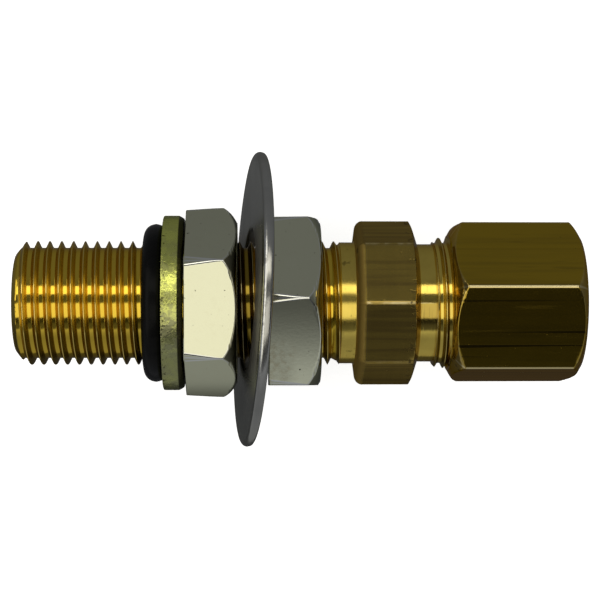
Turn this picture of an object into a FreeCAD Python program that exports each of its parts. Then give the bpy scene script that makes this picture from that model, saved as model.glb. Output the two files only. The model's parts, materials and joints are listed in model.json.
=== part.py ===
"""Tank connector: a threaded brass fitting with a sealing ring, two locknuts and a compression end.

The axis of the fitting is +X, from the tank to the pipe. The origin lies on the axis in the
plane where the sealing ring meets the tank. +Z is up, and +Y completes the frame.
All sizes are in millimetres. Threads are plain cylinders at their crest diameter.
"""
import FreeCAD, Part
import math
import os

# Threads: crest diameters, and how deep the locknut thread is cut
THREAD_DIAMETER = 20.955
THREAD_DEPTH = 1.13
SPIGOT_DIAMETER = 22.2
THREAD_CLEARANCE = 0.1

# Sides of the spanner grip and of the nuts
OCTAGON_SIDES = 8
NUT_SIDES = 6

# Fitting body, from the tank end to the pipe end
STUB_LENGTH = 21.5
NOSE_DIAMETER = 16.7
NOSE_LENGTH = 1.7
SPARE_THREAD = 3.2
COLLAR_DIAMETER = 20.6
COLLAR_LENGTH = 2.6
OCTAGON_STEP = 0.8
OCTAGON_LENGTH = 10.6
OCTAGON_ROUND = 1.5
OCTAGON_CHAMFER = 1.3
OCTAGON_TURN_ANGLE = 22.5
NECK_DIAMETER = 20.0
NECK_LENGTH = 2.7
SPIGOT_LENGTH = 13.8
SPIGOT_CHAMFER = 0.6
WATERWAY_DIAMETER = 13.0

# Pipe socket and the cone that the olive is squeezed into
PIPE_DIAMETER = 15.0
PIPE_CLEARANCE = 0.1
SOCKET_DEPTH = 12.0
SEAT_DEPTH = 2.4
SEAT_ANGLE = 30.0

# Sealing ring and its dished backing washer, which reaches past the flats of the locknut
RING_SECTION = 4.0
RING_CLEARANCE = 0.06
WASHER_OVERHANG = 0.8
WASHER_THICKNESS = 3.5
WASHER_DISH = 0.7
WASHER_BEVEL = 0.5
WASHER_BEVEL_LENGTH = 0.85
WASHER_EDGE = 0.25
WASHER_CLEARANCE = 0.2

# Locknuts, two of one kind, with the least metal over the thread as their wall; a turn angle is that of
# one flat from +Z towards +Y
LOCKNUT_WALL = 3.4225
LOCKNUT_LENGTH = 8.7
LOCKNUT_CHAMFER_ANGLE = 41.0
LOCKNUT_CHAMFER = 2.4
LOCKNUT_CHAMFER_BOW = 0.3
LOCKNUT_CORNER_RELIEF = 0.42
LOCKNUT_RELIEF_LENGTH = 6.2
LOCKNUT_COUNTERSINK = 0.7
SEAL_LOCKNUT_TURN_ANGLE = -4.3
FLANGE_LOCKNUT_TURN_ANGLE = 33.0

# Loose flange washer, which leans on the two locknuts; its play is the room between its hole and the thread,
# and its rim is smaller towards the pipe by the draft
FLANGE_DIAMETER = 50.2
FLANGE_THICKNESS = 1.7
FLANGE_FRONT_ROUND = 0.5
FLANGE_BACK_ROUND = 0.6
FLANGE_DRAFT = 0.22
FLANGE_PLAY = 1.5225
FLANGE_LEAN_ANGLE_Y = 2.6
FLANGE_LEAN_ANGLE_Z = 5.6
FLANGE_RISE = 0.65

# Olive and compression nut, whose wall is the least metal over its thread, under a flat
OLIVE_LENGTH = 6.5
OLIVE_WALL = 1.35
OLIVE_END_WALL = 0.4
COMPRESSION_WALL = 1.3
COMPRESSION_LENGTH = 22.2
COMPRESSION_CHAMFER_ANGLE = 36.0
COMPRESSION_CHAMFER_BOW = 0.2
COMPRESSION_FACE_STEP = 1.1
COMPRESSION_HOLE_CLEARANCE = 0.3
COMPRESSION_MOUTH = 0.5
COMPRESSION_TURN_ANGLE = 41.0
EXPOSED_THREAD = 2.6

# Gaps between faces that seat on each other, and between cones
NUT_GAP = 0.25
LEAN_GAP = 0.2
CONE_GAP = 0.1

# Sizes across flats, radii and slopes used by more than one piece; the octagon is a step larger than the nut
LOCKNUT_FLATS = THREAD_DIAMETER + 2 * (THREAD_CLEARANCE + LOCKNUT_WALL)
WASHER_DIAMETER = LOCKNUT_FLATS + 2 * WASHER_OVERHANG
COMPRESSION_FLATS = SPIGOT_DIAMETER + 2 * (THREAD_CLEARANCE + COMPRESSION_WALL)
OCTAGON_FLATS = COMPRESSION_FLATS + OCTAGON_STEP
FLANGE_HOLE = THREAD_DIAMETER + 2 * FLANGE_PLAY
THREAD_RADIUS = THREAD_DIAMETER / 2
RELIEF_RADIUS = THREAD_RADIUS - THREAD_DEPTH
SPIGOT_RADIUS = SPIGOT_DIAMETER / 2
SOCKET_RADIUS = PIPE_DIAMETER / 2 + PIPE_CLEARANCE
SEAT_SLOPE = math.tan(math.radians(SEAT_ANGLE))
CONE_SHIFT = CONE_GAP / math.sin(math.radians(SEAT_ANGLE))


def corner_radius(flats, sides):
    """Radius to the corners of a regular prism of this size across its flats."""
    return flats / 2 / math.cos(math.pi / sides)


LOCKNUT_CORNER = corner_radius(LOCKNUT_FLATS, NUT_SIDES)
LOCKNUT_LAND = LOCKNUT_CORNER - LOCKNUT_CORNER_RELIEF
LOCKNUT_FACE = LOCKNUT_CORNER - LOCKNUT_CHAMFER / math.tan(math.radians(LOCKNUT_CHAMFER_ANGLE))
LEAN_SLOPES = (math.tan(math.radians(FLANGE_LEAN_ANGLE_Y)), math.tan(math.radians(FLANGE_LEAN_ANGLE_Z)))
LEAN = math.hypot(*LEAN_SLOPES)
FLANGE_HALF = FLANGE_THICKNESS / 2 * math.hypot(1, LEAN)

# Stations along the axis, each taken from the piece before it
WASHER_X = RING_SECTION - WASHER_DISH
SEAL_LOCKNUT_X = WASHER_X + WASHER_THICKNESS + NUT_GAP
FLANGE_X = SEAL_LOCKNUT_X + LOCKNUT_LENGTH + LEAN_GAP + FLANGE_HALF + LOCKNUT_FACE * LEAN
FLANGE_LOCKNUT_X = FLANGE_X + FLANGE_HALF + LOCKNUT_LAND * LEAN + LEAN_GAP
COLLAR_X = FLANGE_LOCKNUT_X + LOCKNUT_LENGTH + SPARE_THREAD
OCTAGON_X = COLLAR_X + COLLAR_LENGTH
NECK_X = OCTAGON_X + OCTAGON_LENGTH
SPIGOT_X = NECK_X + NECK_LENGTH
SPIGOT_END = SPIGOT_X + SPIGOT_LENGTH
SOCKET_X = SPIGOT_END - SOCKET_DEPTH
SEAT_X = SPIGOT_END - SEAT_DEPTH
OLIVE_X = SEAT_X + OLIVE_END_WALL / SEAT_SLOPE + CONE_SHIFT
COMPRESSION_X = SPIGOT_X + EXPOSED_THREAD
COMPRESSION_END = COMPRESSION_X + COMPRESSION_LENGTH


def turned(outline):
    """Solid of revolution about the X axis from (x, radius) points; a triple adds an arc's middle point.

    Each entry is the next corner of the closed outline. An entry (x, r, (mx, mr)) is reached by an
    arc through (mx, mr) instead of a straight line.
    """
    edges = []
    here = FreeCAD.Vector(outline[-1][0], outline[-1][1], 0)
    for entry in outline:
        there = FreeCAD.Vector(entry[0], entry[1], 0)
        if len(entry) == 3:
            middle = FreeCAD.Vector(entry[2][0], entry[2][1], 0)
            edges.append(Part.Arc(here, middle, there).toShape())
        else:
            edges.append(Part.makeLine(here, there))
        here = there
    face = Part.Face(Part.Wire(edges))
    return face.revolve(FreeCAD.Vector(0, 0, 0), FreeCAD.Vector(1, 0, 0), 360)


def prism(flats, sides, start, end, turn):
    """Regular prism along the axis; turn is the angle of one flat from +Z towards +Y, in degrees."""
    reach = corner_radius(flats, sides)
    corners = []
    for i in range(sides + 1):
        angle = math.radians(turn) + math.pi * (2 * i + 1) / sides
        corners.append(FreeCAD.Vector(start, reach * math.sin(angle), reach * math.cos(angle)))
    return Part.Face(Part.makePolygon(corners)).extrude(FreeCAD.Vector(end - start, 0, 0))


def rounded(x, r, radius, side):
    """Middle point of a quarter arc about (x, r) that rounds an outer edge; side is -1 towards the tank, 1 away."""
    offset = radius * math.sqrt(0.5)
    return (x + side * offset, r + offset)


def bowed(here, there, bow):
    """Middle point of an arc that bows out from the line between two (x, radius) points, by the bow at most."""
    along = there[0] - here[0]
    rise = there[1] - here[1]
    chord = math.hypot(along, rise)
    return ((here[0] + there[0]) / 2 - bow * rise / chord, (here[1] + there[1]) / 2 + bow * along / chord)


def edges_at(shape, x):
    """The edges of a shape that lie in the plane across the axis at x."""
    return [edge for edge in shape.Edges if all(abs(point.X - x) < 1e-6 for point in edge.Vertexes)]


def make_fitting_body():
    """One forged and turned brass piece: stub, locknut thread, collar, octagon, neck and spigot."""
    stub_end = -STUB_LENGTH
    shaft = turned([
        (stub_end, 0),
        (stub_end, NOSE_DIAMETER / 2),
        (stub_end + NOSE_LENGTH, THREAD_RADIUS),
        (0, THREAD_RADIUS),
        (0, RELIEF_RADIUS),
        (SEAL_LOCKNUT_X, RELIEF_RADIUS),
        (SEAL_LOCKNUT_X, THREAD_RADIUS),
        (COLLAR_X, THREAD_RADIUS),
        (COLLAR_X, COLLAR_DIAMETER / 2),
        (OCTAGON_X + OCTAGON_ROUND, COLLAR_DIAMETER / 2),
        (OCTAGON_X + OCTAGON_ROUND, NECK_DIAMETER / 2),
        (SPIGOT_X, NECK_DIAMETER / 2),
        (SPIGOT_X, SPIGOT_RADIUS - SPIGOT_CHAMFER),
        (SPIGOT_X + SPIGOT_CHAMFER, SPIGOT_RADIUS),
        (SPIGOT_END - SPIGOT_CHAMFER, SPIGOT_RADIUS),
        (SPIGOT_END, SPIGOT_RADIUS - SPIGOT_CHAMFER),
        (SPIGOT_END, 0),
    ])
    corner = corner_radius(OCTAGON_FLATS, OCTAGON_SIDES)
    blank = prism(OCTAGON_FLATS, OCTAGON_SIDES, OCTAGON_X, NECK_X, OCTAGON_TURN_ANGLE)
    forged = blank.makeFillet(OCTAGON_ROUND, edges_at(blank, OCTAGON_X))
    octagon = forged.common(turned([
        (OCTAGON_X, 0),
        (OCTAGON_X, corner),
        (NECK_X - OCTAGON_CHAMFER, corner),
        (NECK_X, NECK_DIAMETER / 2),
        (NECK_X, 0),
    ]))
    bore = turned([
        (stub_end, 0),
        (stub_end, WATERWAY_DIAMETER / 2),
        (SOCKET_X, WATERWAY_DIAMETER / 2),
        (SOCKET_X, SOCKET_RADIUS),
        (SEAT_X, SOCKET_RADIUS),
        (SPIGOT_END, SOCKET_RADIUS + SEAT_DEPTH * SEAT_SLOPE),
        (SPIGOT_END, 0),
    ])
    return shaft.fuse(octagon).cut(bore).removeSplitter()


def make_o_ring():
    """Rubber sealing ring in the relief behind the stub thread."""
    half = RING_SECTION / 2
    middle = FreeCAD.Vector(half, 0, 0)
    return Part.makeTorus(RELIEF_RADIUS + RING_CLEARANCE + half, half, middle, FreeCAD.Vector(1, 0, 0))


def make_backing_washer():
    """Thick washer, dished on the side that holds the sealing ring and bevelled on the nut side."""
    rim = WASHER_DIAMETER / 2
    hole = THREAD_RADIUS + WASHER_CLEARANCE
    back = WASHER_X + WASHER_THICKNESS
    lip = RELIEF_RADIUS + RING_CLEARANCE + RING_SECTION
    floor_x = WASHER_X + WASHER_DISH + RING_CLEARANCE
    return turned([
        (floor_x, hole),
        (floor_x, lip - WASHER_DISH),
        (WASHER_X, lip),
        (WASHER_X, rim - WASHER_EDGE),
        (WASHER_X + WASHER_EDGE, rim),
        (back - WASHER_BEVEL_LENGTH, rim),
        (back, rim - WASHER_BEVEL),
        (back, hole),
    ])


def make_locknut(start, turn):
    """Hexagon locknut: flat bearing face to the tank, corners eased there and turned round at the back."""
    end = start + LOCKNUT_LENGTH
    shoulder = (end - LOCKNUT_CHAMFER, LOCKNUT_CORNER)
    face = (end, LOCKNUT_FACE)
    blank = prism(LOCKNUT_FLATS, NUT_SIDES, start, end, turn)
    envelope = turned([
        (start, 0),
        (start, LOCKNUT_LAND),
        (start + LOCKNUT_RELIEF_LENGTH, LOCKNUT_CORNER),
        shoulder,
        (*face, bowed(shoulder, face, LOCKNUT_CHAMFER_BOW)),
        (end, 0),
    ])
    bore = THREAD_RADIUS + THREAD_CLEARANCE
    hole = turned([
        (start, 0),
        (start, bore + LOCKNUT_COUNTERSINK),
        (start + LOCKNUT_COUNTERSINK, bore),
        (end - LOCKNUT_COUNTERSINK, bore),
        (end, bore + LOCKNUT_COUNTERSINK),
        (end, 0),
    ])
    return blank.common(envelope).cut(hole)


def make_flange_washer():
    """Flat round washer with a rounded, slightly drafted rim, leaning on the locknuts each side of it."""
    half = FLANGE_THICKNESS / 2
    rim = FLANGE_DIAMETER / 2
    front = (FLANGE_FRONT_ROUND - half, rim - FLANGE_FRONT_ROUND)
    back = (half - FLANGE_BACK_ROUND, rim - FLANGE_DRAFT - FLANGE_BACK_ROUND)
    plate = turned([
        (-half, FLANGE_HOLE / 2),
        (-half, front[1]),
        (front[0], rim, rounded(*front, FLANGE_FRONT_ROUND, -1)),
        (back[0], rim - FLANGE_DRAFT),
        (half, back[1], rounded(*back, FLANGE_BACK_ROUND, 1)),
        (half, FLANGE_HOLE / 2),
    ])
    normal = FreeCAD.Vector(1, -LEAN_SLOPES[0], -LEAN_SLOPES[1])
    lean = FreeCAD.Rotation(FreeCAD.Vector(1, 0, 0), normal)
    centre = FreeCAD.Vector(FLANGE_X + FLANGE_RISE * LEAN_SLOPES[0], FLANGE_RISE, 0)
    plate.Placement = FreeCAD.Placement(centre, lean)
    return plate


def make_olive():
    """Brass olive, a ring with a cone at each end, ready to be squeezed on to the pipe."""
    inner = SOCKET_RADIUS
    cone = (OLIVE_WALL - OLIVE_END_WALL) / SEAT_SLOPE
    end = OLIVE_X + OLIVE_LENGTH
    return turned([
        (OLIVE_X, inner),
        (OLIVE_X, inner + OLIVE_END_WALL),
        (OLIVE_X + cone, inner + OLIVE_WALL),
        (end - cone, inner + OLIVE_WALL),
        (end, inner + OLIVE_END_WALL),
        (end, inner),
    ])


def make_compression_nut():
    """Long hexagon nut: threaded over the spigot, with a cone behind the olive and a hole for the pipe."""
    slope = math.tan(math.radians(COMPRESSION_CHAMFER_ANGLE))
    corner = corner_radius(COMPRESSION_FLATS, NUT_SIDES)
    face = COMPRESSION_FLATS / 2 - COMPRESSION_FACE_STEP
    chamfer = (corner - face) * slope
    front = (COMPRESSION_X, face)
    front_corner = (COMPRESSION_X + chamfer, corner)
    back_corner = (COMPRESSION_END - chamfer, corner)
    back = (COMPRESSION_END, face)
    envelope = turned([
        (COMPRESSION_X, 0),
        front,
        (*front_corner, bowed(front, front_corner, COMPRESSION_CHAMFER_BOW)),
        back_corner,
        (*back, bowed(back_corner, back, COMPRESSION_CHAMFER_BOW)),
        (COMPRESSION_END, 0),
    ])
    thread = SPIGOT_RADIUS + THREAD_CLEARANCE
    hole = SOCKET_RADIUS + COMPRESSION_HOLE_CLEARANCE
    cone_mouth = SOCKET_RADIUS + OLIVE_WALL + COMPRESSION_HOLE_CLEARANCE
    olive_end = OLIVE_X + OLIVE_LENGTH + CONE_SHIFT
    cone_end = olive_end + (OLIVE_END_WALL - COMPRESSION_HOLE_CLEARANCE) / SEAT_SLOPE
    shoulder = cone_end - (cone_mouth - hole) / SEAT_SLOPE
    inside = turned([
        (COMPRESSION_X, 0),
        (COMPRESSION_X, thread),
        (shoulder, thread),
        (shoulder, cone_mouth),
        (cone_end, hole),
        (COMPRESSION_END - COMPRESSION_MOUTH, hole),
        (COMPRESSION_END, hole + COMPRESSION_MOUTH),
        (COMPRESSION_END, 0),
    ])
    blank = prism(COMPRESSION_FLATS, NUT_SIDES, COMPRESSION_X, COMPRESSION_END, COMPRESSION_TURN_ANGLE)
    return blank.common(envelope).cut(inside)


PIECES = {
    "fitting_body": make_fitting_body(),
    "o_ring": make_o_ring(),
    "backing_washer": make_backing_washer(),
    "seal_locknut": make_locknut(SEAL_LOCKNUT_X, SEAL_LOCKNUT_TURN_ANGLE),
    "flange_washer": make_flange_washer(),
    "flange_locknut": make_locknut(FLANGE_LOCKNUT_X, FLANGE_LOCKNUT_TURN_ANGLE),
    "olive": make_olive(),
    "compression_nut": make_compression_nut(),
}

os.makedirs("parts", exist_ok=True)
for node, shape in PIECES.items():
    print(f"{node}: valid {shape.isValid()}, solids {len(shape.Solids)}, volume {shape.Volume:.1f} mm3")
    shape.exportStep(f"parts/{node}.step")
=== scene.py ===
"""Tank connector dressed for a studio picture: threads, eased edges, metal finishes, light and camera.

The file is laid out as an add-on. Sizes and colours are properties, each group of pieces has an operator,
and a sidebar panel lists them. Lengths are in metres. The axis of the fitting is +X, from the tank to the
pipe, and an angle about it runs from +Y towards +Z.
"""
import json
import math

import bmesh
import bpy
import numpy as np
from bpy.props import FloatProperty, FloatVectorProperty, PointerProperty
from mathutils import Matrix, Vector


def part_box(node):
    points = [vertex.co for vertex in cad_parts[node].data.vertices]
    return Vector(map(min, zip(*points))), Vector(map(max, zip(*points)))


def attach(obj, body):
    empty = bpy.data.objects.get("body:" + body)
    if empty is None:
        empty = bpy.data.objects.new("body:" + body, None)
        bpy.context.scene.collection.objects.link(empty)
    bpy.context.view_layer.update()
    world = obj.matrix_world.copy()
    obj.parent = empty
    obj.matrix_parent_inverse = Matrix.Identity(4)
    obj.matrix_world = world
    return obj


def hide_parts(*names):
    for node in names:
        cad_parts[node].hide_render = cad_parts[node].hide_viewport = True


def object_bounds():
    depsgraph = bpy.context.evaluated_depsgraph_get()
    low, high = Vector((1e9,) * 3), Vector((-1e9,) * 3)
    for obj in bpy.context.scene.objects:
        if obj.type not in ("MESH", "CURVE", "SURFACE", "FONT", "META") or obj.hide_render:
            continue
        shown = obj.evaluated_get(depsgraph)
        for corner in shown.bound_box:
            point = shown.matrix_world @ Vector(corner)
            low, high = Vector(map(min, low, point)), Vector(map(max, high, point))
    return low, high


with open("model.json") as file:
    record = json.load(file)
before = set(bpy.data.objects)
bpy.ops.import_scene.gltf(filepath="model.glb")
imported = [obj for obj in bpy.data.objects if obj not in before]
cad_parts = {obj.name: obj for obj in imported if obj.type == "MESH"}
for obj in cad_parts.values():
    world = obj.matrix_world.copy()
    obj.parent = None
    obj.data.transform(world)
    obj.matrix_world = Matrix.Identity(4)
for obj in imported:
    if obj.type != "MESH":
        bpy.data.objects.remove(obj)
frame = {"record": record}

bl_info = {
    "name": "Tank connector",
    "version": (1, 0, 0),
    "blender": (4, 5, 0),
    "location": "3D View > Sidebar > Tank connector",
    "description": "Makes a brass tank connector with its seals, nuts and studio stage",
    "category": "Object",
}

MM = 0.001
TURN = 2 * math.pi
WEAR = "wear"
# How much a chamfer is lightened by wear and partly as painted highlight, where a corner is 1
CHAMFER_WEAR = 0.3
# How far in the middle ring of an eased edge lies, as a share of the edge's width
EASED_MIDDLE = 0.3
CAD_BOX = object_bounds()
MOUNTS = {mount["name"]: mount for mount in frame["record"]["mounts"]}


def mount_radius(name):
    """Radius of one of the record's mounts."""
    return MOUNTS[name]["dims"]["r_mm"] * MM


def span(node):
    """Where a node starts and ends along the axis."""
    low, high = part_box(node)
    return low.x, high.x


def reach(node):
    """How far a round node reaches from the axis."""
    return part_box(node)[1].z


def add_object(name, data):
    """A new object of the scene that shows a mesh, a lamp or a camera."""
    made = bpy.data.objects.new(name, data)
    bpy.context.scene.collection.objects.link(made)
    return made


# Properties

def length(name, description, millimetres):
    """A length that a user may change, given in millimetres and kept in metres."""
    return FloatProperty(name=name, description=description, default=millimetres * MM, unit="LENGTH",
                         precision=5)


def angle(name, description, degrees):
    """An angle that a user may change, given in degrees and kept in radians."""
    return FloatProperty(name=name, description=description, default=math.radians(degrees), unit="ROTATION")


def colour(name, description, red, green, blue):
    """A linear colour that a user may change."""
    return FloatVectorProperty(name=name, description=description, default=(red, green, blue),
                               subtype="COLOR", min=0, max=1)


def level(name, description, value):
    """A plain number, such as a brightness, that a user may change."""
    return FloatProperty(name=name, description=description, default=value, min=0)


class BodySizes(bpy.types.PropertyGroup):
    """Sizes of the brass fitting."""
    pitch: length("Thread pitch", "Distance between crests of the long thread", 2.0)
    depth: length("Thread depth", "Height of the long thread from root to crest", 1.13)
    crest: length("Thread crest", "Where a crest of the long thread crosses the +Y side", -17.97)
    nose_radius: length("Nose radius", "Radius of the end face of the stub", 8.35)
    nose_length: length("Nose length", "Length of the cone that eases the stub", 1.7)
    spare_thread: length("Spare thread", "Thread left bare between the second locknut and the collar", 3.2)
    collar_radius: length("Collar radius", "Radius of the plain collar", 10.3)
    collar_length: length("Collar length", "Length of the plain collar", 2.6)
    octagon_flats: length("Octagon size", "Size of the spanner grip across its flats", 25.8)
    octagon_length: length("Octagon length", "Length of the spanner grip", 10.6)
    octagon_round: length("Octagon round", "Radius along the edges of its end towards the tank", 1.5)
    octagon_chamfer: length("Octagon chamfer", "Length of the chamfer towards the pipe", 1.3)
    octagon_corner: length("Octagon corner", "Radius along the corners of the spanner grip", 0.16)
    octagon_ease: length("Octagon ease", "Width over which its flats meet its chamfer", 0.18)
    octagon_foot: length("Octagon foot", "Size of the fillet between the collar and the octagon", 0.3)
    octagon_turn: angle("Octagon turn", "Angle of one flat from +Z towards +Y", 22.5)
    neck_radius: length("Neck radius", "Radius of the plain neck", 10.0)
    neck_length: length("Neck length", "Length of the plain neck", 2.7)
    spigot_radius: length("Spigot radius", "Crest radius of the thread under the compression nut", 11.1)
    spigot_pitch: length("Spigot pitch", "Distance between crests of the spigot thread", 1.5)
    spigot_depth: length("Spigot depth", "Height of the spigot thread from root to crest", 0.85)
    spigot_crest: length("Spigot crest", "Where a crest of the spigot thread crosses the +Y side", 49.9)
    spigot_chamfer: length("Spigot chamfer", "Chamfer at both ends of the spigot thread", 0.6)
    socket_depth: length("Socket depth", "How far the pipe goes into the spigot", 12.0)
    seat_depth: length("Seat depth", "Depth of the cone that the olive is squeezed into", 2.4)
    seat_angle: angle("Seat angle", "Slope of the olive's cone to the axis", 30.0)
    run_out: length("Run-out", "How far the stub thread runs out under the sealing ring", 1.0)
    edge: length("Edge", "Width of the eased edges", 0.12)


class SealSizes(bpy.types.PropertyGroup):
    """Sizes of the sealing ring and its backing washer."""
    dish: length("Dish", "Depth of the dish that holds the ring", 0.7)
    hole: length("Hole clearance", "Room between the washer and the thread", 0.2)
    room: length("Ring clearance", "Room between the ring and its seats", 0.06)
    bevel: length("Bevel", "Depth of the washer's bevel towards the nut", 0.5)
    bevel_length: length("Bevel length", "How far along the washer that bevel runs", 0.85)
    edge: length("Edge", "Bevel of the washer towards the ring", 0.25)
    flash: length("Flash", "Height of the mould line round the ring", 0.04)


class LocknutSizes(bpy.types.PropertyGroup):
    """Sizes of the two locknuts."""
    flats: length("Across flats", "Size of a locknut across its flats", 28.0)
    chamfer: length("Chamfer", "Length of the chamfer at the corners of the back", 2.4)
    chamfer_angle: angle("Chamfer angle", "Angle of that chamfer to the end face", 41.0)
    bow: length("Chamfer bow", "How far that chamfer bows out from a plain cone", 0.3)
    corner_relief: length("Corner relief", "How much the corners are eased at the bearing face", 0.42)
    relief_length: length("Relief length", "How far along the nut the corners are eased", 6.2)
    corner: length("Corner", "Radius along the corners", 0.3)
    ease: length("Ease", "Width over which the flats meet the turned ends", 0.12)
    edge: length("Edge", "Width of the eased edges", 0.12)
    countersink: length("Countersink", "Depth of the cone at both ends of the thread", 0.7)
    clearance: length("Clearance", "Room between the nut's thread and the fitting's", 0.1)
    seal_turn: angle("First turn", "Angle of one flat of the first nut from +Z towards +Y", -4.3)
    flange_turn: angle("Second turn", "Angle of one flat of the second nut from +Z towards +Y", 33.0)


class FlangeSizes(bpy.types.PropertyGroup):
    """Sizes of the loose flange washer."""
    radius: length("Radius", "Radius of the rim", 25.05)
    thickness: length("Thickness", "Thickness of the plate", 1.7)
    hole: length("Hole radius", "Radius of the hole", 12.0)
    lean_y: angle("Lean to +Y", "How far the +Y side leans towards the pipe", 2.6)
    lean_z: angle("Lean to +Z", "How far the +Z side leans towards the pipe", 5.6)
    rise: length("Rise", "How far its centre lies off the axis towards +Y", 0.65)
    wave: length("Wave", "Unevenness of the rim", 0.05)
    front_round: length("Front round", "Radius of the rim towards the tank", 0.9)
    back_round: length("Back round", "Radius of the rim towards the pipe", 0.6)
    hole_round: length("Hole round", "Radius of the edge of the hole towards the tank", 0.5)
    draft: length("Draft", "How much smaller the rim is towards the pipe", 0.06)


class CompressionSizes(bpy.types.PropertyGroup):
    """Sizes of the compression nut and its olive."""
    flats: length("Across flats", "Size of the nut across its flats", 25.0)
    face_step: length("Face step", "How far the end faces lie inside the flats", 1.1)
    chamfer_angle: angle("Chamfer angle", "Angle of the chamfers to the end faces", 36.0)
    bow: length("Chamfer bow", "How far the chamfers bow out from plain cones", 0.2)
    corner: length("Corner", "Radius along the corners", 0.55)
    ease: length("Ease", "Width over which the flats meet the turned ends", 0.07)
    edge: length("Edge", "Width of the eased edges", 0.12)
    clearance: length("Clearance", "Room between the nut's thread and the spigot's", 0.1)
    hole: length("Hole clearance", "Room between the nut and the pipe", 0.3)
    mouth: length("Mouth", "Cone at the mouth of the pipe hole", 0.5)
    cone_gap: length("Cone gap", "Room between the olive and its cones", 0.1)
    turn: angle("Turn", "Angle of one flat from +Z towards +Y", 41.0)
    olive_wall: length("Olive wall", "Wall of the olive at its middle", 1.35)
    olive_end: length("Olive end", "Wall of the olive at its ends", 0.4)


class Finishes(bpy.types.PropertyGroup):
    """Colours of the metals and the rubber."""
    brass: colour("Brass", "Bright turned brass", 0.92, 0.69, 0.14)
    brass_shade: colour("Brass shade", "Duller, browner brass", 0.66, 0.46, 0.09)
    brass_thread: colour("Thread brass", "Deeper brass of the long thread", 0.86, 0.58, 0.055)
    brass_flank: colour("Thread flank", "Duller brass on the flanks of the threads", 0.60, 0.49, 0.16)
    # Also paints bright edge lines as painted highlight
    brass_edge: colour("Brass edge", "Worn edges of the brass", 0.98, 0.84, 0.48)
    brass_glance: colour("Brass glance", "Brass seen along its surface", 0.80, 0.69, 0.54)
    octagon: colour("Forged brass", "Skin of the forged octagon", 0.48, 0.34, 0.075)
    # Also painted shade on the rounded end of the octagon
    octagon_shade: colour("Forged shade", "Darker bands of that skin", 0.34, 0.235, 0.06)
    nut_brass: colour("Nut brass", "Drawn brass of the compression nut", 0.52, 0.345, 0.032)
    nut_shade: colour("Nut shade", "Darker streaks of the drawn brass", 0.33, 0.225, 0.03)
    nut_glance: colour("Nut glance", "The drawn brass seen along its surface", 0.86, 0.60, 0.30)
    plate: colour("Plate", "Bright grey plate of the locknuts", 0.80, 0.80, 0.58)
    plate_shade: colour("Plate shade", "Clouded patches of that plate", 0.62, 0.56, 0.36)
    # Also paints the bright edge lines of the locknuts and the highlight on the flange washer's rim
    plate_edge: colour("Plate edge", "Worn edges of that plate", 0.97, 0.97, 0.93)
    plate_glance: colour("Plate glance", "Plated steel seen along its surface", 0.55, 0.56, 0.50)
    washer: colour("Washer", "Yellow passivated plate of the backing washer", 0.94, 0.98, 0.23)
    # Also painted shade on the lower side of the backing washer
    washer_shade: colour("Washer shade", "Greyer patches of that plate", 0.42, 0.42, 0.21)
    disc: colour("Disc", "Grey metal of the flange washer", 0.72, 0.71, 0.66)
    disc_shade: colour("Disc shade", "Stains on the flange washer", 0.50, 0.50, 0.47)
    # Painted shade round the hole and on the rim of the flange washer
    disc_dull: colour("Disc dull", "Scuffed face round the hole of the flange washer", 0.22, 0.21, 0.19)
    disc_glance: colour("Disc glance", "The flange washer seen along its surface", 0.66, 0.65, 0.61)
    rubber: colour("Rubber", "Black rubber of the sealing ring", 0.0025, 0.0025, 0.0025)
    rubber_dust: colour("Rubber dust", "Bloom and dust on that rubber", 0.014, 0.014, 0.013)
    # Painted shade in the gap between the first locknut and the flange washer, and on the lower thread
    # flanks
    grime: colour("Grime", "Dirt in the narrow gaps", 0.05, 0.035, 0.01)
    # Also painted shade: the black bevel of the backing washer and the back chamfer of the first locknut
    pit: colour("Pit", "Dirt in pits and specks", 0.03, 0.025, 0.015)


class StageSettings(bpy.types.PropertyGroup):
    """Camera, light and surroundings."""
    camera_place: FloatVectorProperty(name="Camera", description="Where the camera stands", unit="LENGTH",
                                      default=(17.7 * MM, 0.5 * MM, 300 * MM))
    camera_aim: FloatVectorProperty(name="Aim", description="Point that the camera looks at", unit="LENGTH",
                                    default=(26.38 * MM, 0.49 * MM, 0))
    lens: level("Lens", "Focal length in millimetres on a 36 mm sensor", 105.8)
    upper_level: level("Upper lamp level", "Radiance of the long lamp towards +Y", 1.5)
    lower_level: level("Lower lamp level", "Radiance of the long lamp towards -Y", 0.96)
    end_level: level("End lamp level", "Radiance of the lamp at the tank end", 1.0)
    lamp_colour: colour("Lamp colour", "Tint of the lamps", 1.0, 0.97, 0.87)
    lamp_height: length("Lamp height", "Distance of the lamps from the part", 500)
    lamp_start: length("Lamp start", "Where the long lamps start along the axis", -300)
    lamp_end: length("Lamp end", "Where the long lamps end along the axis", 350)
    ambient: level("Ambient", "Light from all round on dull surfaces", 0.45)
    floor_glow: level("Floor glow", "What lifts the pale floor to white", 0.65)
    floor: colour("Floor", "Colour of the floor", 0.86, 0.86, 0.86)
    floor_shade: colour("Floor shade", "Faint clouds on the floor", 0.80, 0.80, 0.80)


class ConnectorSettings(bpy.types.PropertyGroup):
    """All settings of the tank connector."""
    body: PointerProperty(type=BodySizes, name="Fitting", description="Sizes of the fitting")
    seal: PointerProperty(type=SealSizes, name="Seal", description="Sizes of the seal")
    locknut: PointerProperty(type=LocknutSizes, name="Locknuts", description="Sizes of the locknuts")
    flange: PointerProperty(type=FlangeSizes, name="Flange", description="Sizes of the flange washer")
    compression: PointerProperty(type=CompressionSizes, name="Compression end",
                                 description="Sizes of that end")
    finish: PointerProperty(type=Finishes, name="Finishes", description="Colours")
    stage: PointerProperty(type=StageSettings, name="Stage", description="Camera and light")


# Meshes of rings about the axis

def even_angles(count):
    """Angles evenly spaced round the axis."""
    return np.linspace(0, TURN, count, endpoint=False)


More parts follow.
